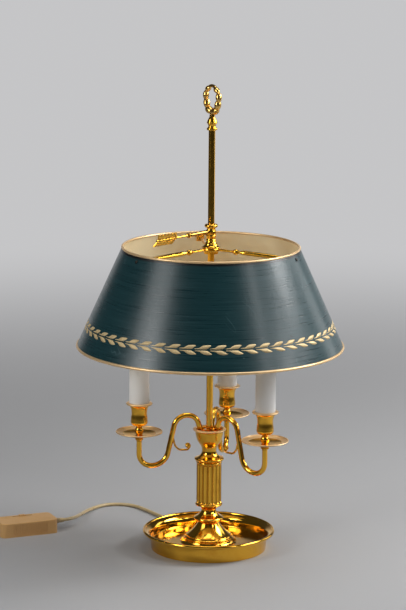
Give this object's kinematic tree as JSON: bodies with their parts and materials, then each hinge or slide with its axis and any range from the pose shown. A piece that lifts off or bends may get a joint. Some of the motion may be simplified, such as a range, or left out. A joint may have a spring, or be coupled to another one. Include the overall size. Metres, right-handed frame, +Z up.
{
  "type": "bouillotte lamp",
  "caption": "Brass bouillotte lamp: dish foot, fluted column, candle arms under a dark green metal shade that slides and turns on a rod, arrow key, wreath finial, cord dimmer.",
  "frame": {"origin": "middle of the felt pad's underside, on the table", "axes": "+Z up along the rod, -Y the front, +X to the right seen from the front"},
  "size_m": [0.6142, 0.3872, 0.6316],
  "materials": {
    "polished_brass": "polished",
    "brass_antique": "satin",
    "green_paint": "satin",
    "candle_card": "matte",
    "bulb_glass": "clear",
    "bulb_metal": "polished",
    "holder_plastic": "matte",
    "base_iron": "rough",
    "felt": "matte",
    "steel": "satin",
    "wire_insulation": "matte",
    "gold_cord": "gloss",
    "dimmer_gold": "gloss",
    "dimmer_brown": "satin",
    "circuit_board": "matte",
    "plug_gold": "gloss",
    "pin_nickel": "polished"
  },
  "bodies": {
    "lamp_base": {"dish_base": "polished_brass", "cone_foot": "polished_brass", "column_base": "polished_brass", "fluted_column": "polished_brass", "column_cap": "polished_brass", "arm_hub_cup": "polished_brass", "arm_hub": "polished_brass", "rod_coupler": "polished_brass", "rod": "polished_brass", "finial_knob": "polished_brass", "collar_nuts": "polished_brass", "arm_left": "polished_brass", "arm_right": "polished_brass", "arm_back": "polished_brass", "drip_pan_left": "polished_brass", "drip_pan_right": "polished_brass", "drip_pan_back": "polished_brass", "candle_cup_left": "polished_brass", "candle_cup_right": "polished_brass", "candle_cup_back": "polished_brass", "wreath_ring": "brass_antique", "candle_sleeve_left": "candle_card", "candle_sleeve_right": "candle_card", "candle_sleeve_back": "candle_card", "bulb_glass_left": "bulb_glass", "bulb_glass_right": "bulb_glass", "bulb_glass_back": "bulb_glass", "bulb_caps": "bulb_metal", "lampholders": "holder_plastic", "base_weight": "base_iron", "felt_pad": "felt", "base_washer": "steel", "base_nut": "steel", "stem_tube": "steel", "arm_nipples": "steel", "dimmer_screws": "steel", "lamp_wiring": "wire_insulation", "dish_relief": "gold_cord", "dimmer_relief_lamp": "gold_cord", "dimmer_relief_plug": "gold_cord", "cord_lamp_to_dimmer": "gold_cord", "cord_dimmer_to_coil": "gold_cord", "cord_coil": "gold_cord", "cord_coil_to_plug": "gold_cord", "dimmer_top": "dimmer_gold", "dimmer_bottom": "dimmer_gold", "coil_tie": "dimmer_brown", "dimmer_board": "circuit_board", "plug_body": "plug_gold", "plug_pins": "pin_nickel"},
    "slider": {"slider_collar": "polished_brass", "slider_nut": "polished_brass"},
    "shade": {"spider": "polished_brass", "shade_cone": "green_paint", "shade_foot_bead": "brass_antique", "shade_top_bead": "brass_antique", "shade_screws": "steel"},
    "arrow_key": {"key_screw": "polished_brass", "key_arrow": "polished_brass"},
    "dimmer_knob": {"dimmer_slider": "dimmer_gold"}
  },
  "joints": [
    {"name": "shade_height", "type": "slide", "parent": "lamp_base", "child": "slider", "axis": [0, 0, 1], "range_m": [-0.028, 0.12]},
    {"name": "shade_turn", "type": "hinge", "parent": "slider", "child": "shade", "pos_m": [0, 0, 0.411], "axis": [0, 0, 1], "continuous": true},
    {"name": "key_turn", "type": "hinge", "parent": "slider", "child": "arrow_key", "pos_m": [0, 0, 0.43505], "axis": [-0.6691, -0.7431, 0], "range_deg": [0, 540]},
    {"name": "dimmer_slide", "type": "slide", "parent": "lamp_base", "child": "dimmer_knob", "axis": [0.9178, 0.3971, 0], "range_m": [-0.012, 0.012]}
  ]
}
